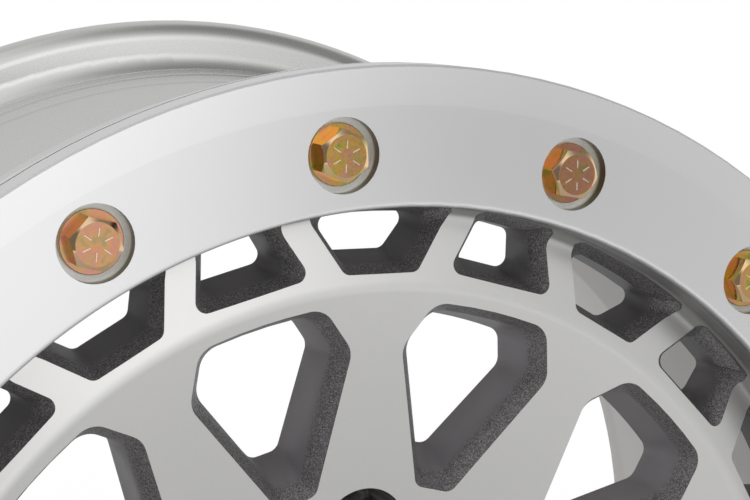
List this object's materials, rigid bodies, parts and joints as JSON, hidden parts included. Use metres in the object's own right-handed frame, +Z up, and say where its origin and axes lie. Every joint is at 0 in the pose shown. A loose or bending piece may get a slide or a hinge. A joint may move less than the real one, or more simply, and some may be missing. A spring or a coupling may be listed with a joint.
{
  "type": "beadlock wheel",
  "caption": "Cast alloy beadlock wheel: a bolted clamp ring round a spoked face with a truss of small windows, an open hub bore, lug pockets and a drop-centre barrel.",
  "frame": {"origin": "on the wheel's axis, in the plane of the hub mounting face", "axes": "+Y along the axis, inboard toward the vehicle; the outboard face with the ring looks toward -Y; +Z up through the middle of a spoke"},
  "size_m": [0.418, 0.2038, 0.418],
  "materials": {
    "wheel_casting": "satin",
    "ring_metal": "satin machined",
    "bolt_zinc": "yellow zinc plated",
    "washer_zinc": "yellow zinc plated"
  },
  "bodies": {
    "root": {"wheel": "wheel_casting", "beadlock_ring": "ring_metal", "ring_bolts": "bolt_zinc", "ring_washers": "washer_zinc"}
  },
  "joints": []
}
